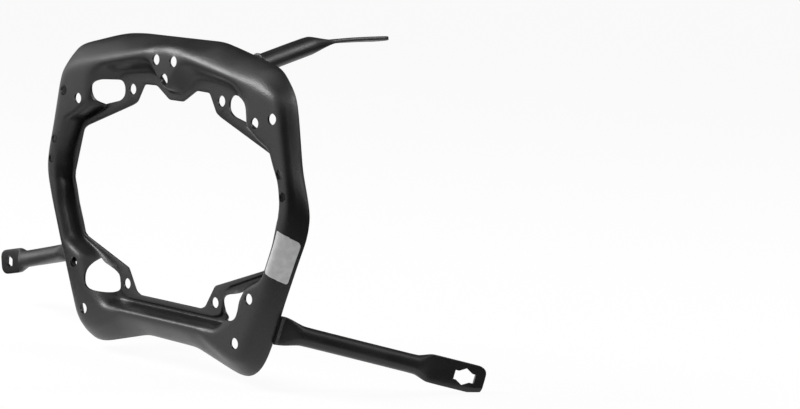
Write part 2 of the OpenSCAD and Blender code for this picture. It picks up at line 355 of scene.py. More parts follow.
@dataclass(frozen=True)
class NodeBench:
    """The nodes of one material or of the world, and the ways to join them."""

    tree: bpy.types.NodeTree

    def add(self, kind: str, values: dict | None = None) -> bpy.types.Node:
        """Adds a node.

        Args:
            kind: Kind of the node.
            values: Values of its inputs by their names.

        Returns:
            The node.
        """
        node = self.tree.nodes.new(kind)
        for name, value in (values or {}).items():
            node.inputs[name].default_value = value
        return node

    def join(self, source: Socket, node: bpy.types.Node, name: str | int) -> None:
        """Joins a socket to one input of a node."""
        self.tree.links.new(source, node.inputs[name])

    def work_out(self, operation: str, first: Socket, second: Socket | float) -> Socket:
        """Adds a node that works out one number from two.

        Args:
            operation: What it works out.
            first: Where its first number comes from.
            second: Its second number, or where that comes from.

        Returns:
            The result's socket.
        """
        node = self.tree.nodes.new("ShaderNodeMath")
        node.operation = operation
        self.join(first, node, 0)
        if isinstance(second, float):
            node.inputs[1].default_value = second
        else:
            self.join(second, node, 1)
        return node.outputs["Value"]

    def noise(self, scale: float, detail: float, roughness: float = 0.5) -> Socket:
        """Adds a cloudy pattern that is fixed to the piece.

        Args:
            scale: Number of clouds in a metre.
            detail: Number of finer layers.
            roughness: Strength of the finer layers.

        Returns:
            The pattern's socket.
        """
        place = self.add("ShaderNodeTexCoord")
        node = self.add("ShaderNodeTexNoise", {"Scale": scale, "Detail": detail, "Roughness": roughness})
        self.join(place.outputs["Object"], node, "Vector")
        return node.outputs["Fac"]

    def spread(self, source: Socket, span: tuple[float, float], low: float, high: float) -> Socket:
        """Adds a node that spreads a span of values over another span.

        Args:
            source: Where the values come from.
            span: The values' own span.
            low: Result at the span's start.
            high: Result at the span's end.

        Returns:
            The result's socket.
        """
        values = {"From Min": span[0], "From Max": span[1], "To Min": low, "To Max": high}
        node = self.add("ShaderNodeMapRange", values)
        self.join(source, node, "Value")
        return node.outputs["Result"]

    def grey(self, level: Socket) -> Socket:
        """Adds a grey colour, whose level comes from a socket, and returns its socket."""
        node = self.add("ShaderNodeCombineColor")
        for channel in ("Red", "Green", "Blue"):
            self.join(level, node, channel)
        return node.outputs["Color"]

    def seen(self) -> Socket:
        """Returns a socket that is 1 for what is seen directly, mirrored or through glass, and else 0."""
        path = self.add("ShaderNodeLightPath")
        mirrored = self.work_out("MAXIMUM", path.outputs["Is Camera Ray"], path.outputs["Is Glossy Ray"])
        return self.work_out("MAXIMUM", mirrored, path.outputs["Is Transmission Ray"])


@dataclass(frozen=True)
class PowderCoat:
    """Fine-textured black powder coat on steel, with mottled gloss and dust-fine, slightly paler grain."""

    name: str
    tone: float = 0.008
    mottling: float = 0.25
    cloud_scale: float = 22.0
    shine: Shine = Shine.SEMI_GLOSS
    shine_less: float = 0.05
    shine_more: float = 0.06
    specular: float = 0.45
    grain_mm: float = 1.3
    grain_depth: float = 0.8
    grain_height_mm: float = 0.3
    grain_tops: tuple[float, float] = (0.56, 0.74)
    rub: float = 0.014

    def material(self) -> bpy.types.Material:
        """Makes the coat's material.

        Returns:
            The material, with its nodes.
        """
        coat = new_material(self.name)
        bench = NodeBench(coat.node_tree)
        shader = bench.tree.nodes["Principled BSDF"]
        shader.inputs["Metallic"].default_value = 0.0
        shader.inputs["Specular IOR Level"].default_value = self.specular
        grain = bench.noise(1 / (self.grain_mm * MM), 3.0, 0.6)
        cloud = bench.noise(self.cloud_scale, 4.0)

        least, most = self.tone * (1 - self.mottling), self.tone * (1 + self.mottling)
        tint = bench.spread(cloud, CLOUD_SPAN, least, most)
        speck = bench.spread(grain, self.grain_tops, 0.0, self.rub)
        bench.join(bench.grey(bench.work_out("ADD", tint, speck)), shader, "Base Color")

        smooth, dull = self.shine.value - self.shine_less, self.shine.value + self.shine_more
        bench.join(bench.spread(cloud, CLOUD_SPAN, smooth, dull), shader, "Roughness")

        sizes = {"Strength": self.grain_depth, "Distance": self.grain_height_mm * MM}
        bump = bench.add("ShaderNodeBump", sizes)
        bench.join(grain, bump, "Height")
        bench.join(bump.outputs["Normal"], shader, "Normal")
        return coat


@dataclass(frozen=True)
class LabelStock:
    """Plain silver-grey label film, a little scuffed."""

    name: str = "label_film"
    tone: float = 0.52
    metallic: float = 0.25
    scuff: float = 0.06
    scuff_scale: float = 160.0
    shine: Shine = Shine.SATIN

    def material(self) -> bpy.types.Material:
        """Makes the film's material.

        Returns:
            The material, with its nodes.
        """
        film = new_material(self.name)
        bench = NodeBench(film.node_tree)
        shader = bench.tree.nodes["Principled BSDF"]
        shader.inputs["Metallic"].default_value = self.metallic
        shader.inputs["Roughness"].default_value = self.shine.value
        cloud = bench.noise(self.scuff_scale, 5.0)
        tint = bench.spread(cloud, CLOUD_SPAN, self.tone - self.scuff, self.tone + self.scuff)
        bench.join(bench.grey(tint), shader, "Base Color")
        return film


@dataclass(frozen=True)
class Outline:
    """One closed line of the ring, seen from the front, as its right half from the top to the foot."""

    half: Half
    soften: float
    middle_z: float = 15.0
    left: Half = ()

    def whole(self) -> np.ndarray:
        """Joins both halves.

        Returns:
            Corners of the closed line, from the ring's middle.
        """
        right = np.array(self.half, float)
        left = np.array(self.left or self.half, float)[::-1] * [-1.0, 1.0]
        return np.concatenate([right, left]) - [0.0, self.middle_z]

    def hit(self, degrees: np.ndarray) -> np.ndarray:
        """Distance from the ring's middle to the line along rays.

        Args:
            degrees: Angles of the rays.

        Returns:
            One distance for each ray.
        """
        a = np.radians(degrees)[:, None]
        dx, dz = np.cos(a), np.sin(a)
        p = self.whole()
        e = np.roll(p, -1, axis=0) - p
        den = dx * e[:, 1] - dz * e[:, 0]
        crosses = np.abs(den) > NEARLY_ZERO
        safe = np.where(crosses, den, 1.0)
        s = (p[:, 0] * e[:, 1] - p[:, 1] * e[:, 0]) / safe
        u = (p[:, 0] * dz - p[:, 1] * dx) / safe
        good = crosses & (s > 0) & (u > -SLACK) & (u < 1 + SLACK)
        return np.where(good, s, 0.0).max(axis=1)

    def radius(self, degrees: np.ndarray) -> np.ndarray:
        """Distance to the line with its corners rounded over the angle soften.

        Args:
            degrees: Angles around the ring's middle.

        Returns:
            One distance for each angle.
        """
        total, weights = 0.0, 0.0
        for share in np.linspace(-1.0, 1.0, SOFTEN_SAMPLES):
            weight = SOFTEN_WEIGHT - abs(share)
            total = total + weight * self.hit(degrees + share * self.soften)
            weights += weight
        return total / weights


@dataclass
class PressedRing:
    """The ring: rim flange, rounded fold, land, channel, lip and tabs, pressed from one sheet."""

    node: str = "ring_plate"
    sheet: float = 2.2
    rim_depth: float = 21.0
    rim_top_depth: float = 28.0
    rim_change: tuple[float, float] = (30.0, 65.0)
    rim_crown: float = 1.25
    crown_reach: float = 9.0
    fold_reach: float = 10.0
    land_reach: float = 7.5
    floor_reach: float = 6.0
    lip_reach: float = 1.2
    wall_share: float = 0.12
    least_step: float = 3.0
    lip_depth: float = 16.0
    floor_drop: float = 4.0
    edge_roll: float = 0.55
    stations: int = 540
    outer_columns: int = 20
    outer_reach: float = 30.0
    hole_d: float = 10.5
    leg_hole_d: float = 9.0
    hole_corners: int = 48
    shallow: float = 8.0
    fold: Outline = Outline((
        (0, 159.5), (23, 156.5), (100, 141), (140, 132), (155.5, 126.5), (161, 115), (169, 80),
        (176, 50), (178.5, 33), (176.5, 20), (167.5, -5), (144, -67), (124, -112), (114, -121),
        (98, -121), (60, -105), (0, -105)), 3.5)
    edge: Outline = Outline((
        (0, 168), (52, 168), (60, 166.7), (92, 160), (118, 154.5), (138, 150.5), (152, 138),
        (162, 126), (166, 109), (174, 60), (182, 35), (186, 19), (182.5, -1), (173, -23),
        (155.5, -66), (143.5, -100), (135.5, -118), (127, -131), (113, -140), (100, -140),
        (84, -136), (36, -123.5), (0, -123)), 4.0, left=(
            (0, 168), (62, 168), (86, 166.4), (104, 163), (128, 157), (145, 153), (155, 150),
            (164, 143), (169.5, 132), (169.5, 112), (174, 60), (182, 35), (186, 19), (182.5, -1),
            (173, -23), (155.5, -66), (145, -100), (139, -119), (134, -129), (121, -138.5),
            (104, -139.5), (82, -134), (36, -122.5), (0, -123)))
    land: Outline = Outline((
        (0, 121), (8, 127), (21, 146), (30, 148), (100, 135), (117, 126), (120, 112), (115, 97),
        (130, 85.7), (148, 72), (160, 50), (164, 28), (157, -8), (144, -42), (122, -54),
        (118, -66), (114, -82), (84, -98.5), (0, -98.5)), 3.2)
    floor: Outline = Outline((
        (0, 113), (10, 114), (25, 129), (36, 133), (60, 131.5), (84, 127), (90, 115), (93, 100),
        (112, 90), (143, 74), (158, 46), (159.5, 24), (153, -8), (139.5, -41), (104, -55),
        (88, -62), (84, -84), (78, -94), (0, -94)), 3.2)
    lip: Outline = Outline((
        (0, 111), (12, 112), (31, 124.5), (52, 124.5), (72, 122), (76, 104), (141, 75), (154, 46),
        (156.5, 20), (149, -6), (136, -38), (86, -57), (76, -64), (74, -86), (62, -89.5),
        (0, -89.5)), 2.0)
    opening: Outline = Outline((
        (0, 109), (10, 109), (29, 121), (48, 120.5), (58.5, 102.5), (65, 99), (135, 72),
        (140, 68.5), (154, 18.5), (134, -36), (64.5, -60.5), (51.5, -82), (45, -85), (0, -85)), 1.6)
    holes: tuple[Point, ...] = (
        (129.5, 100, 8), (129.5, -62, 8), (65, 114, 26), (65, -76, 26), (152.5, 106, 8),
        (112, -106, 8), (12.5, 147, 8))
    leg_holes: Half = ((165, 57), (169.5, 37))
    lobe_hole: tuple[float, float] = (0.0, 129.5)
    slots: tuple[Half, ...] = (
        ((81, 121.5), (104, 120.5), (113, 116.5), (114.5, 108), (112.5, 98.5), (107.5, 95),
         (103, 96.5), (82, 101.5), (76, 107), (76, 116)),
        ((81, -66), (93, -63.8), (103, -60), (108.5, -55.5), (112, -60), (114, -68), (114, -76),
         (111.5, -83), (105, -86.3), (86, -88), (77.5, -84.5), (75.8, -78), (75.8, -70)))
    slot_round: float = 5.0
    slot_depth: float = 30.0
    holding_span: tuple[float, float] = (-75.0, 255.0)

    def channel_share(self, folded: np.ndarray) -> np.ndarray:
        """Share of the channel's full depth at angles from the level line, full at the legs and sill."""
        legs = ease(40, 31, folded) * ease(-46, -38, folded)
        return np.maximum(legs, ease(-48, -56, folded))

    def controls(self, degrees: np.ndarray) -> tuple[list[np.ndarray], list[float]]:
        """Corners of the front skin's section at some angles.

        Args:
            degrees: Angles around the ring's middle.

        Returns:
            Corners from the rim edge to the opening, each as (radius, depth) rows, and the reach of
            the rounding at each.
        """
        wrapped = (degrees + 90.0) % 360.0 - 90.0
        folded = np.where(wrapped > 90, 180 - wrapped, wrapped)
        depth = self.rim_depth + (self.rim_top_depth - self.rim_depth) * ease(*self.rim_change, folded)
        edge = np.stack([self.edge.radius(degrees), depth], axis=-1)
        corner = np.stack([self.fold.radius(degrees), 0 * degrees], axis=-1)
        along = unit(edge - corner)
        out = np.stack([along[:, 1], -along[:, 0]], axis=-1)
        crown = 0.5 * (corner + self.fold_reach * along + edge) + self.rim_crown * out
        r_open = self.opening.radius(degrees)
        r_lip = np.maximum(self.lip.radius(degrees), r_open + self.least_step)
        r_floor = np.maximum(self.floor.radius(degrees), r_lip + self.least_step)
        r_land = np.maximum(self.land.radius(degrees), r_floor + self.least_step)
        floor_y = self.lip_depth + self.floor_drop * self.channel_share(folded)
        wall = self.wall_share * (r_land - r_floor)

        def at(r: np.ndarray, y: np.ndarray | float) -> np.ndarray:
            """Returns rows of (radius, depth)."""
            return np.stack([r, np.broadcast_to(np.asarray(y, float), r.shape)], axis=-1)

        corners = [edge, crown, corner, at(r_land - wall, 0.0), at(r_floor + wall, floor_y)]
        corners.append(at(r_lip + self.lip_reach, floor_y))
        corners += [at(r_lip, self.lip_depth), at(r_open, self.lip_depth)]
        reaches = [self.crown_reach, self.fold_reach, self.land_reach, self.floor_reach]
        return corners, [0.0] + reaches + [self.lip_reach, self.lip_reach, 0.0]

    def section(self, degrees: np.ndarray, steps: int = 6) -> np.ndarray:
        """Rounded section of the front skin.

        Args:
            degrees: Angles around the ring's middle.
            steps: Number of points at each rounded corner.

        Returns:
            (radius, depth) by angle and point.
        """
        corners, reaches = self.controls(degrees)
        rows = [corners[0]]
        for k in range(1, len(corners) - 1):
            rows += rounding(corners[k - 1], corners[k], corners[k + 1], reaches[k], steps)
        rows.append(corners[-1])
        return np.stack(rows, axis=1)

    def front(self, degrees: np.ndarray) -> np.ndarray:
        """Front skin as a grid of points, from the rim edge to the opening.

        Args:
            degrees: Angles around the ring's middle.

        Returns:
            Points by angle and place in the section.
        """
        s = self.section(degrees)
        a = np.radians(degrees)[:, None]
        x, z = s[..., 0] * np.cos(a), self.fold.middle_z + s[..., 0] * np.sin(a)
        return np.stack([x, s[..., 1], z], axis=-1)

    def skins(self, degrees: np.ndarray, loop: bool = False) -> tuple[np.ndarray, np.ndarray, np.ndarray]:
        """Both skins of the sheet.

        Args:
            degrees: Angles around the ring's middle.
            loop: Whether they go all round.

        Returns:
            Points of the front skin, its outward normals and points of the inner skin.
        """
        grid = self.front(degrees)
        if loop:
            along = np.roll(grid, -1, axis=0) - np.roll(grid, 1, axis=0)
        else:
            along = np.gradient(grid, axis=0)
        normal = unit(np.cross(along, np.gradient(grid, axis=1)))
        return grid, normal, grid - self.sheet * normal

    def rolled_edge(self, skins: tuple[np.ndarray, np.ndarray, np.ndarray], at_rim: bool) -> np.ndarray:
        """Rounded edge of the sheet.

        Args:
            skins: Front skin, its normals and inner skin.
            at_rim: Whether it is the edge at the rim, and not the one at the opening.

        Returns:
            Points by angle and place, in the order in which they close the section.
        """
        front, normal, back = skins
        end, inner = (0, 1) if at_rim else (-1, -2)
        middle = 0.5 * (front[:, end] + back[:, end])
        tangent = unit(front[:, end] - front[:, inner])
        rows = []
        for turn in (-60, -30, 0, 30, 60) if at_rim else (60, 30, 0, -30, -60):
            t = math.radians(turn)
            bulge = math.sin(t) * normal[:, end] + self.edge_roll * math.cos(t) * tangent
            rows.append(middle + 0.5 * self.sheet * bulge)
        return np.stack(rows, axis=1)

    def build(self, coat: bpy.types.Material) -> bpy.types.Object:
        """Makes the ring from its two skins and their rounded edges, with all its holes and slots.

        Args:
            coat: Its material.

        Returns:
            The dressed ring.
        """
        degrees = np.arange(self.stations) * 360.0 / self.stations - 90.0
        skins = self.skins(degrees, True)
        front, _, back = skins
        opening_edge, rim_edge = self.rolled_edge(skins, False), self.rolled_edge(skins, True)
        grid = np.concatenate([front, opening_edge, back[:, ::-1], rim_edge], axis=1)
        ring = make_object("pressed_ring", grid, grid_faces(len(grid), grid.shape[1], True, True))
        cut(ring, [self.hole_cutter()])
        soft_edges(ring)
        return dress(ring, coat, self.node)

    def hole_cutter(self) -> bpy.types.Object:
        """Makes one mesh of all the bolts' and slots' cutters.

        Returns:
            The cutter.
        """
        points: list[np.ndarray] = []
        faces: Faces = []

        def prism(outline: np.ndarray, last_y: float, first_y: float = -6.0) -> None:
            """Adds a closed prism along Y over an outline of (x, z) points."""
            n, base = len(outline), sum(len(p) for p in points)
            for y in (first_y, last_y):
                points.append(np.stack([outline[:, 0], np.full(n, y), outline[:, 1]], axis=-1))
            faces.extend(tuple(base + k for k in face) for face in tube_faces(2, n))

        hole = circle(self.hole_d, self.hole_corners)
        leg_hole = circle(self.leg_hole_d, self.hole_corners)
        for side in Side:
            for x, z, depth in self.holes:
                prism(hole + [side.value * x, z], depth)
            for x, z in self.leg_holes:
                prism(leg_hole + [side.value * x, z], self.shallow)
            for slot in self.slots:
                prism(rounded(slot, self.slot_round) * [side.value, 1], self.slot_depth)
        prism(hole + self.lobe_hole, self.shallow)
        return make_object("hole_cutter", np.concatenate(points), faces)

    def hold_behind(self, points: np.ndarray, margin: float) -> np.ndarray:
        """Moves points so that each stays behind the inner skin.

        Args:
            points: Rows of (x, depth, height).
            margin: Least distance to the inner skin.

        Returns:
            The moved points.
        """
        _, normal, back = self.skins(np.arange(*self.holding_span, 1.0))
        skin, out = back.reshape(-1, 3), normal.reshape(-1, 3)
        held = []
        for point in points:
            k = int(np.argmin(np.linalg.norm(skin - point, axis=1)))
            above = float((point - skin[k]) @ out[k]) + margin
            held.append(point - max(0.0, above) * out[k])
        return np.array(held)

    def outside(self, first: float, last: float) -> bpy.types.Object:
        """Space in front of the rim, fold and land, up to the inner skin.

        Args:
            first: Angle where it starts.
            last: Angle where it ends.

        Returns:
            The closed space, for cutting a strut's end.
        """
        front, normal, back = self.skins(np.arange(first, last + 0.01, 1.0))
        outer = front + self.outer_reach * normal
        until = self.outer_columns
        space = np.concatenate([outer[:, :until], back[:, :until][:, ::-1]], axis=1)
        return make_object("outside_space", space, tube_faces(*space.shape[:2]))


@dataclass(frozen=True)
class Station:
    """One section of a strut: its centre, width, thickness and how far it is from round to flat."""

    centre: Point
    width: float
    thick: float
    flat: float


@dataclass
class Strut:
    """A steel tube with flattened ends, as sections along its path."""

    name: str
    tube_d: float
    across: Point
    stations: list[Station] = field(default_factory=list)
    wall: float = 2.1
    around: int = 48
    tip_share: float = 0.46
    tip_power: float = 0.8
    squareness: float = 0.68
    smoothings: int = 2

    @property
    def flat_width(self) -> float:
        """Width of the tube when it is pressed flat."""
        return math.pi * (self.tube_d - self.wall) / 2 + self.wall

    @property
    def flat_thick(self) -> float:
        """Thickness of the tube when it is pressed flat."""
        return 2 * self.wall

    def round_at(self, at: np.ndarray) -> None:
        """Adds a round section."""
        self.stations.append(Station(tuple(at), self.tube_d, self.tube_d, 0.0))

    def flat_at(self, at: np.ndarray, share: float = 1.0) -> None:
        """Adds a flat section of a share of the full width."""
        self.stations.append(Station(tuple(at), self.flat_width * share, self.flat_thick, 1.0))

    def press(self, a: np.ndarray, b: np.ndarray, to_round: bool, steps: int = 16) -> None:
        """Adds the sections where the tube goes from round to flat or back.

        Args:
            a: First centre.
            b: Last centre.
            to_round: Whether it is round at b.
            steps: Number of sections.
        """
        for t in np.linspace(0, 1, steps):
            u = float(ease(0, 1, t) if to_round else ease(1, 0, t))
            width = self.flat_width + (self.tube_d - self.flat_width) * u
            thick = self.flat_thick + (self.tube_d - self.flat_thick) * u
            self.stations.append(Station(tuple(a + (b - a) * t), width, thick, 1 - u))

    def end(self, start: np.ndarray, way: np.ndarray, reverse: bool = False, reach: float = 9.0) -> None:
        """Adds the rounded tip of a flattened end.

        Args:
            start: Centre where the rounding starts.
            way: Direction to the tip.
            reverse: Whether the strut starts at this tip.
            reach: Length of the rounding.
        """
        turns = np.linspace(0, 1, 14) * math.pi / 2
        for turn in turns[::-1] if reverse else turns:
            share = self.tip_share + (1 - self.tip_share) * math.cos(turn) ** self.tip_power
            self.flat_at(start + reach * math.sin(turn) * way, share)

    def mesh(self) -> bpy.types.Object:
        """Joins the sections.

        Returns:
            The strut's closed mesh.
        """
        centre = np.array([s.centre for s in self.stations])
        for _ in range(self.smoothings):
            centre[2:-2] = 0.25 * centre[1:-3] + 0.5 * centre[2:-2] + 0.25 * centre[3:-1]
        along = unit(np.gradient(centre, axis=0))
        across = np.array(self.across, float)
        across = unit(across - (along @ across)[:, None] * along)
        through = np.cross(along, across)
        turn = np.linspace(0, 2 * math.pi, self.around, endpoint=False)
        rings = []
        for k, s in enumerate(self.stations):
            power = 1 - self.squareness * s.flat
            u = np.sign(np.cos(turn)) * np.abs(np.cos(turn)) ** power * s.width / 2
            v = np.sign(np.sin(turn)) * np.abs(np.sin(turn)) ** power * s.thick / 2
            rings.append(centre[k] + u[:, None] * across[k] + v[:, None] * through[k])
        return make_object(self.name, np.array(rings), tube_faces(len(rings), self.around))


@dataclass
class TopStrut:
    """Tube from the inside of the top rim, leaning up to a nearly level lug with a bolt hole."""

    node: str = "top_strut"
    tube_d: float = 18.0
    root: Point = (99.0, 28.0, 150.0)
    run_in: Point = (0.0, 29.0, 5.8)
    pinch: Point = (99.0, 116.0, 170.0)
    squeeze: Point = (0.0, 26.0, 3.5)
    settle: Point = (0.0, 10.0, 2.0)
    tip_y: float = 189.0
    tip_reach: float = 9.0
    lug_z: float = 172.0
    tilt: float = math.radians(8)
    bore_d: float = 8.5
    bore_back: float = 5.0
    seat_span: tuple[float, float] = (37.0, 67.0)

    def build(self, ring: PressedRing, coat: bpy.types.Material) -> bpy.types.Object:
        """Makes the strut, cut by the inside of the rim.

        Args:
            ring: The ring that carries it.
            coat: Its material.

        Returns:
            The dressed strut.
        """
        root, pinch = np.array(self.root), np.array(self.pinch)
        lug = np.array([root[0], self.tip_y - self.tip_reach, self.lug_z])
        strut = Strut("top_strut_tube", self.tube_d, (math.cos(self.tilt), 0, math.sin(self.tilt)))
        strut.round_at(root - self.run_in)
        strut.round_at(root)
        strut.press(pinch - self.squeeze, pinch, False)
        strut.flat_at(pinch + self.settle)
        strut.end(lug, np.array([0, 1.0, 0]), reach=self.tip_reach)
        piece = strut.mesh()
        upward = np.array([-math.sin(self.tilt), 0, math.cos(self.tilt)])
        bore = rod(lug - [0, self.bore_back, 0], upward, circle(self.bore_d))
        cut(piece, [bore, ring.outside(*self.seat_span)], Solver.FAST)
        soft_edges(piece)
        return dress(piece, coat, self.node)


@dataclass
class SideStrut:
    """Tube from the back of the left leg to a lug with a hexagon hole."""

    node: str = "side_strut"
    tube_d: float = 17.5
    seat_y: float = 21.9
    seat_end: tuple[float, float] = (-146.0, -50.5)
    seat_way: Point = (1.0, 0.0, 0.2)
    swell_from: tuple[float, float] = (-159.0, -54.3)
    swell_to: Point = (-181.0, 3.9, -62.2)
    lug: Point = (-365.0, 100.0, -101.0)
    bend: Point = (16.0, 0.0, 3.5)
    squeeze: Point = (30.0, -13.5, 6.5)
    tip_from: Point = (5.0, 0.0, 1.0)
    tip_way: Point = (-1.0, 0.0, -0.15)
    flats: float = 11.5

    def build(self, coat: bpy.types.Material) -> bpy.types.Object:
        """Makes the strut.

        Args:
            coat: Its material.

        Returns:
            The dressed strut.
        """
        lug = np.array(self.lug)
        bend = lug + self.bend
        strut = Strut("side_strut_tube", self.tube_d, UPRIGHT)
        y = self.seat_y + strut.flat_thick / 2
        start = np.array([self.seat_end[0], y, self.seat_end[1]])
        swell = np.array([self.swell_from[0], y, self.swell_from[1]])
        strut.end(start, unit(np.array(self.seat_way)), reverse=True)
        strut.press(swell, np.array(self.swell_to) + [0, y, 0], True)
        strut.press(bend + self.squeeze, bend, False)
        strut.end(lug - self.tip_from, unit(np.array(self.tip_way)))
        piece = strut.mesh()
        hexagon = circle(self.flats / math.cos(math.pi / 6), 6, math.pi / 2)
        cut(piece, [rod(lug, np.array([0, 1.0, 0]), hexagon)])
        soft_edges(piece)
        return dress(piece, coat, self.node)


@dataclass
class LowerStrut:
    """Tube from the inside of the right leg's rim down to a lug with a keyed hole."""

    node: str = "lower_strut"
    tube_d: float = 18.0
    root: Point = (145.8, 22.0, -90.0)
    way: Point = (0.525, 0.817, -0.238)
    lay: Point = (0.62, 0.785, 0.0)
    seat_steps: Point = (-16.0, -8.0, -2.0)
    swell: tuple[float, float] = (3.0, 28.0)
    squeeze: tuple[float, float] = (-51.0, -32.0)
    lug_y: float = 173.0
    lug_reach: float = 19.7
    tip_reach: float = 9.0
    key_d: float = 17.0
    key_slot: float = 9.2
    key_length: float = 20.4
    seat_span: tuple[float, float] = (-50.0, -17.0)

    def keys(self, lug: np.ndarray) -> list[bpy.types.Object]:
        """Makes the cutters of the keyed hole.

        Args:
            lug: Middle of the hole.

        Returns:
            A hexagon and a slot, turned with the lug.
        """
        x, y, z = self.way
        through = np.cross(UPRIGHT, [x, y, 0])
        tilt = math.asin(z / np.linalg.norm(self.way))
        hexagon = circle(self.key_d, 6, math.pi / 2)
        box = 0.5 * np.array([(-1, -1), (1, -1), (1, 1), (-1, 1)]) * [self.key_length, self.key_slot]
        turned = np.array([[math.cos(tilt), -math.sin(tilt)], [math.sin(tilt), math.cos(tilt)]])
        mirror = np.array([-1.0, 1.0])
        return [rod(lug, through, (part @ turned.T) * mirror) for part in (hexagon, box)]

    def build(self, ring: PressedRing, coat: bpy.types.Material) -> bpy.types.Object:
        """Makes the strut, cut by the inside of the rim.

        Args:
            ring: The ring that carries it.
            coat: Its material.

        Returns:
            The dressed strut.
        """
        root, way, lay = np.array(self.root), np.array(self.way), np.array(self.lay)
        lug = root + (self.lug_y - root[1]) / way[1] * way
        strut = Strut("lower_strut_tube", self.tube_d, UPRIGHT)
        for step in self.seat_steps:
            strut.flat_at(root + step * lay)
        strut.press(root + self.swell[0] * way, root + self.swell[1] * way, True)
        strut.press(lug + self.squeeze[0] * way, lug + self.squeeze[1] * way, False)
        strut.end(lug + (self.lug_reach - self.tip_reach) * way, way, reach=self.tip_reach)
        piece = strut.mesh()
        cut(piece, self.keys(lug) + [ring.outside(*self.seat_span)])
        soft_edges(piece)
        return dress(piece, coat, self.node)


@dataclass
class WeldBead:
    """A rippled weld bead along a path."""

    name: str
    path: np.ndarray
    radius: float = 2.0
    seed: int = 1
    pitch: float = 1.8
    step: float = 0.4
    wander_step: float = 2.5
    wander_pitch: float = 0.15
    wander_size: float = 0.1
    least_size: float = 0.82
    ripple_size: float = 0.16
    end_size: float = 0.3
    end_reach: float = 1.2
    smoothings: int = 6
    around: int = 16

    def build(self, coat: bpy.types.Material) -> bpy.types.Object:
        """Makes the bead.

        Args:
            coat: Its material.

        Returns:
            The dressed bead.
        """
        rough = np.random.RandomState(self.seed)
        p = np.array(self.path, float)
        length = np.concatenate([[0], np.cumsum(np.linalg.norm(np.diff(p, axis=0), axis=1))])
        s = np.arange(0, length[-1] + self.step / 2, self.step)
        line = np.stack([np.interp(s, length, p[:, k]) for k in range(3)], axis=-1)
        for _ in range(self.smoothings):
            line[1:-1] = 0.25 * line[:-2] + 0.5 * line[1:-1] + 0.25 * line[2:]
        along = unit(np.gradient(line, axis=0))
        guess = np.where(np.abs(along[:, 1:2]) > 0.8, [UPRIGHT], [[0.0, 1.0, 0.0]])
        side = unit(np.cross(along, guess))
        up = np.cross(side, along)
        knots = np.arange(0, s[-1] + 3, self.wander_step)
        wander = np.interp(s, knots, rough.uniform(-1, 1, len(knots)))
        phase = (s / self.pitch + self.wander_pitch * wander) % 1.0
        ripple = np.sqrt(np.clip(1 - (2 * phase - 1) ** 2, 0, 1))
        taper = np.clip(np.minimum(s, s[-1] - s) / (self.end_reach * self.radius), 0, 1) ** 0.5
        share = self.least_size + self.ripple_size * ripple + self.wander_size * wander
        size = self.radius * share * (self.end_size + (1 - self.end_size) * taper)
        turn = np.linspace(0, 2 * math.pi, self.around, endpoint=False)[None, :, None]
        ring = np.cos(turn) * side[:, None] + np.sin(turn) * up[:, None]
        grid = line[:, None] + size[:, None, None] * ring
        made = make_object(self.name, grid, tube_faces(*grid.shape[:2]))
        soft_edges(made, 60.0)
        return dress(made, coat)


@dataclass
class Welds:
    """The beads that join the struts to the ring."""

    top_rim: Point = (99.0, 29.2, 150.0)
    top_root: Point = (99.0, 4.0, 145.2)
    root_bend_z: float = 138.0
    root_lean: float = 0.95
    lower_rim: Point = (150.9, 21.6, -90.0)
    lower_seat: Point = (138.6, 9.5, -90.0)
    lower_run: tuple[float, float] = (8.4, 10.9)
    lower_slope: float = 0.353
    side_rim: Point = (-165.6, 21.4, -56.0)
    side_slope: float = -0.40
    side_end: tuple[Point, ...] = ((-146.0, 22.6, -38.6), (-140.0, 22.8, -37.6), (-136.2, 22.8, -42.0))

    def arc(self, middle: Point, across: float, up: float, span: tuple[int, int]) -> np.ndarray:
        """Part of an upright oval.

        Args:
            middle: Its middle.
            across: Half its width.
            up: Half its height.
            span: Degrees from its top, clockwise, with a point every 8 degrees.

        Returns:
            Points of the arc.
        """
        turns = np.radians(np.arange(*span, 8))
        x, y, z = middle
        wide, high = across * np.sin(turns), up * np.cos(turns)
        return np.stack([x + wide, np.full(len(turns), y), z + high], axis=-1)

    def across_rim(self, middle: Point, slope: float, heights: tuple[float, ...]) -> np.ndarray:
        """Returns points, at some heights above the middle, of a leaning line across a strut."""
        x, y, z = middle
        return np.array([(x + slope * height, y, z + height) for height in heights])

    def beads(self, ring: PressedRing) -> list[WeldBead]:
        """Lays out all the beads.

        Args:
            ring: The ring, behind whose skin the inner beads stay.

        Returns:
            The beads.
        """
        top_rim = self.arc(self.top_rim, 9.4, 9.6, (-62, 63))
        top_root = self.arc(self.top_root, 9.6, 9.4, (64, 297))
        top_root[:, 1] += self.root_lean * np.maximum(0.0, top_root[:, 2] - self.root_bend_z)
        lower_rim = self.across_rim(self.lower_rim, self.lower_slope, (-13.5, -6, 0, 6, 13.5))
        side_rim = self.across_rim(self.side_rim, self.side_slope, (-11, -5, 0, 5, 11))
        beads = [
            WeldBead("top_rim_weld", top_rim, 1.9, 1),
            WeldBead("top_root_weld", ring.hold_behind(top_root, 1.6), 2.2, 2),
            WeldBead("lower_rim_weld", lower_rim, 1.9, 3),
        ]
        for name, height, seed in (("lower_upper_weld", 13.8, 76), ("lower_under_weld", -13.6, 103)):
            start = self.across_rim(self.lower_seat, self.lower_slope, (height,))[0]
            line = np.linspace(start, start + [self.lower_run[0], self.lower_run[1], 0], 12)
            beads.append(WeldBead(name, ring.hold_behind(line, 1.3), 1.8, seed))
        beads.append(WeldBead("side_rim_weld", side_rim, 1.8, 4))
        beads.append(WeldBead("side_end_weld", np.array(self.side_end), 1.9, 5))
        return beads


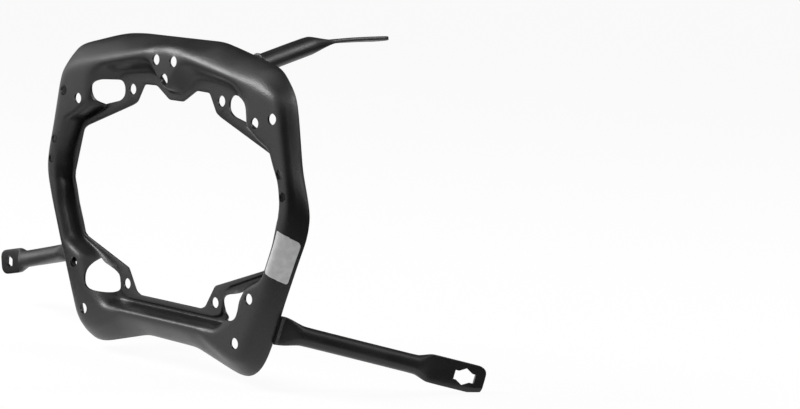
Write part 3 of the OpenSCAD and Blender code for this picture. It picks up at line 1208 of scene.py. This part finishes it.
@dataclass
class TopBrace:
    """Folded closing plate behind the top channel, as it comes from the solids."""

    node: str = "top_brace"

    def build(self, coat: bpy.types.Material) -> bpy.types.Object:
        """Gives the plate its coat.

        Args:
            coat: Its material.

        Returns:
            The plate.
        """
        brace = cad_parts[self.node]
        brace.data.materials.clear()
        brace.data.materials.append(coat)
        return brace


@dataclass
class Label:
    """A blank label, bent round the fold of the right leg, whose corners are angles and columns."""

    name: str = "blank_label"
    corners: tuple[tuple[float, float], ...] = ((-2.75, 12.9), (-6.75, 0.9), (-20.5, 1.1), (-17.9, 13.6))
    thick: float = 0.16
    sink: float = 0.05
    round_u: float = 0.22
    round_v: float = 0.14
    rows: int = 40
    columns: int = 30

    def places(self) -> np.ndarray:
        """Places of the label's points on the ring's skin.

        Returns:
            (angle, column of the ring's section) by row and column of the label.
        """
        v = np.linspace(-1, 1, self.rows)
        over = np.clip((np.abs(v) - (1 - self.round_v)) / self.round_v, 0, 1)
        narrow = 1 - self.round_u * (1 - np.sqrt(1 - over ** 2))
        u = np.linspace(-1, 1, self.columns)[None, :] * narrow[:, None]
        a, b = ((1 + u) / 2)[..., None], ((1 + v) / 2)[:, None, None]
        top_left, top_right, low_right, low_left = np.array(self.corners)
        return (top_left * (1 - a) + top_right * a) * (1 - b) + (low_left * (1 - a) + low_right * a) * b

    def build(self, ring: PressedRing, film: bpy.types.Material) -> bpy.types.Object:
        """Makes the label on the ring's front skin.

        Args:
            ring: The ring.
            film: Its material.

        Returns:
            The dressed label.
        """
        degrees = np.arange(-30.0, 5.01, 0.5)
        skin, normal, _ = ring.skins(degrees)
        place = self.places()
        row = (place[..., 0] - degrees[0]) / (degrees[1] - degrees[0])
        under, out = between(skin, row, place[..., 1]), unit(between(normal, row, place[..., 1]))
        layers = np.stack([under + self.thick * out, under - self.sink * out])
        made = make_object(self.name, layers, film_faces(self.rows, self.columns))
        soft_edges(made)
        return dress(made, film)


@dataclass(frozen=True)
class Lamp:
    """A soft rectangular lamp that faces the object's middle, with sizes in metres."""

    name: str
    at: Point
    size: tuple[float, float]
    watts: float

    def hang(self) -> None:
        """Adds the lamp to the scene."""
        data = bpy.data.lights.new(self.name, "AREA")
        data.shape = "RECTANGLE"
        data.size, data.size_y = self.size
        data.energy = self.watts
        made = add_object(self.name, data)
        made.location = self.at
        made.rotation_euler = (-Vector(self.at)).to_track_quat("-Z", "Y").to_euler()
        made.visible_camera = False


def add_plane(name: str, corners: list[Point], material: bpy.types.Material) -> bpy.types.Object:
    """Adds a flat piece of the studio.

    Args:
        name: Name of the piece.
        corners: Its corners in order.
        material: Its material.

    Returns:
        The piece.
    """
    mesh = bpy.data.meshes.new(name)
    mesh.from_pydata(corners, [], [tuple(range(len(corners)))])
    mesh.materials.append(material)
    return add_object(name, mesh)


@dataclass(frozen=True)
class Card:
    """A dark card, upright or level, between two opposite corners, with a low glow of its own."""

    name: str
    near: Point
    far: Point
    glow: float

    def hang(self) -> None:
        """Adds the card, which is only seen in reflections, as a studio's flags are."""
        (x0, y0, z0), (x1, y1, z1) = self.near, self.far
        if z0 == z1:
            corners = [(x0, y0, z0), (x1, y0, z0), (x1, y1, z0), (x0, y1, z0)]
        else:
            corners = [(x0, y0, z0), (x1, y1, z0), (x1, y1, z1), (x0, y0, z1)]
        paint = new_material(self.name)
        bench = NodeBench(paint.node_tree)
        bench.tree.nodes.clear()
        glow = bench.add("ShaderNodeEmission", {"Strength": self.glow})
        bench.join(glow.outputs["Emission"], bench.add("ShaderNodeOutputMaterial"), "Surface")
        made = add_plane(self.name, corners, paint)
        made.visible_camera = False
        made.visible_diffuse = False
        made.visible_transmission = False
        made.visible_shadow = False


@dataclass
class Studio:
    """Camera, lamps, floor, dark cards and white background."""

    camera_at: Point = (1.8883, -1.58485, 0.31055)
    right: Point = (0.70650, 0.70648, 0.04164)
    up: Point = (-0.11778, 0.05935, 0.99127)
    lens: float = 117.457
    sensor: float = 36.0
    lamps: tuple[Lamp, ...] = (
        Lamp("upper_left_softbox", (-1.45, -1.35, 1.75), (1.1, 1.1), 82.0),
        Lamp("right_back_strip", (1.15, 1.15, 0.9), (0.25, 0.9), 12.0),
        Lamp("front_softbox", (-1.2, -2.4, 0.5), (1.4, 1.4), 4.0),
        Lamp("back_fill", (0.4, 2.2, 1.0), (1.5, 1.5), 6.0))
    cards: tuple[Card, ...] = (
        Card("right_card", (0.5, -1.3, CARD_FOOT), (0.5, 0.45, SIDE_TOP), 0.04),
        Card("right_back_card", (0.5, 0.45, CARD_FOOT), (0.5, 2.2, SIDE_TOP), 0.09),
        Card("right_floor_card", (0.25, -1.3, CARD_FOOT), (0.5, 2.2, CARD_FOOT), 0.10),
        Card("left_floor_card", (-1.0, -0.55, CARD_FOOT), (-0.34, 0.12, CARD_FOOT), 0.05),
        Card("back_card", (-3.4, 0.9, CARD_FOOT), (0.45, 0.9, BACK_TOP), 0.06),
        Card("overhead_card", (-3.4, 0.0, BACK_TOP), (0.45, 0.9, BACK_TOP), 0.06))
    fill: float = 0.35
    floor_reach: float = 30.0
    floor_grey: float = 0.8
    floor_glow: float = 0.93

    def camera(self) -> None:
        """Sets the camera to the photograph's place, direction and lens."""
        right, up = Vector(self.right).normalized(), Vector(self.up)
        back = right.cross(up).normalized()
        up = back.cross(right)
        data = bpy.data.cameras.new("photo_camera")
        data.sensor_fit = "HORIZONTAL"
        data.sensor_width = self.sensor
        data.lens = self.lens
        data.clip_end = 50.0
        made = add_object("photo_camera", data)
        turn = Matrix((right, up, back)).transposed().to_4x4()
        made.matrix_world = Matrix.Translation(self.camera_at) @ turn
        bpy.context.scene.camera = made

    def world(self) -> None:
        """Sets a white background for what sees or mirrors it, and a soft fill elsewhere."""
        world = bpy.data.worlds.new("white_room")
        bpy.context.scene.world = world
        world.use_nodes = True
        bench = NodeBench(world.node_tree)
        shader = bench.tree.nodes["Background"]
        shader.inputs["Color"].default_value = WHITE
        bench.join(bench.spread(bench.seen(), (0.0, 1.0), self.fill, 1.0), shader, "Strength")

    def floor(self) -> None:
        """Adds the pale floor, which keeps a faint shadow."""
        white = new_material("floor_white")
        bench = NodeBench(white.node_tree)
        bench.tree.nodes.clear()
        grey = (self.floor_grey, self.floor_grey, self.floor_grey, 1.0)
        plain = bench.add("ShaderNodeBsdfDiffuse", {"Color": grey})
        glow = bench.add("ShaderNodeEmission", {"Color": WHITE, "Strength": 1.0})
        mix = bench.add("ShaderNodeMixShader")
        bench.join(bench.work_out("MULTIPLY", bench.seen(), self.floor_glow), mix, "Fac")
        bench.join(plain.outputs["BSDF"], mix, 1)
        bench.join(glow.outputs["Emission"], mix, 2)
        bench.join(mix.outputs["Shader"], bench.add("ShaderNodeOutputMaterial"), "Surface")
        r, z = self.floor_reach, FLOOR_Z
        made = add_plane("studio_floor", [(-r, -r, z), (r, -r, z), (r, r, z), (-r, r, z)], white)

    def build(self) -> None:
        """Builds the whole studio."""
        bpy.context.scene.view_settings.view_transform = "Standard"
        self.camera()
        self.world()
        self.floor()
        for thing in self.lamps + self.cards:
            thing.hang()


def report(piece: bpy.types.Object) -> None:
    """Logs a piece that is ready."""
    log.info("%s: %d faces", piece.name, len(piece.data.polygons))


def main() -> None:
    """Builds the studio and the frame's pieces in order."""
    logging.basicConfig(level=logging.INFO)
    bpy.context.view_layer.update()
    Studio().build()
    ring_coat = PowderCoat("ring_powder_coat").material()
    strut_coat = PowderCoat("strut_powder_coat", tone=0.014, grain_depth=0.12).material()
    ring = PressedRing()
    report(ring.build(ring_coat))
    report(TopStrut().build(ring, strut_coat))
    report(SideStrut().build(strut_coat))
    report(LowerStrut().build(ring, strut_coat))
    for bead in Welds().beads(ring):
        report(bead.build(strut_coat))
    report(Label().build(ring, LabelStock().material()))
    report(TopBrace().build(ring_coat))


if __name__ == "__main__":
    main()
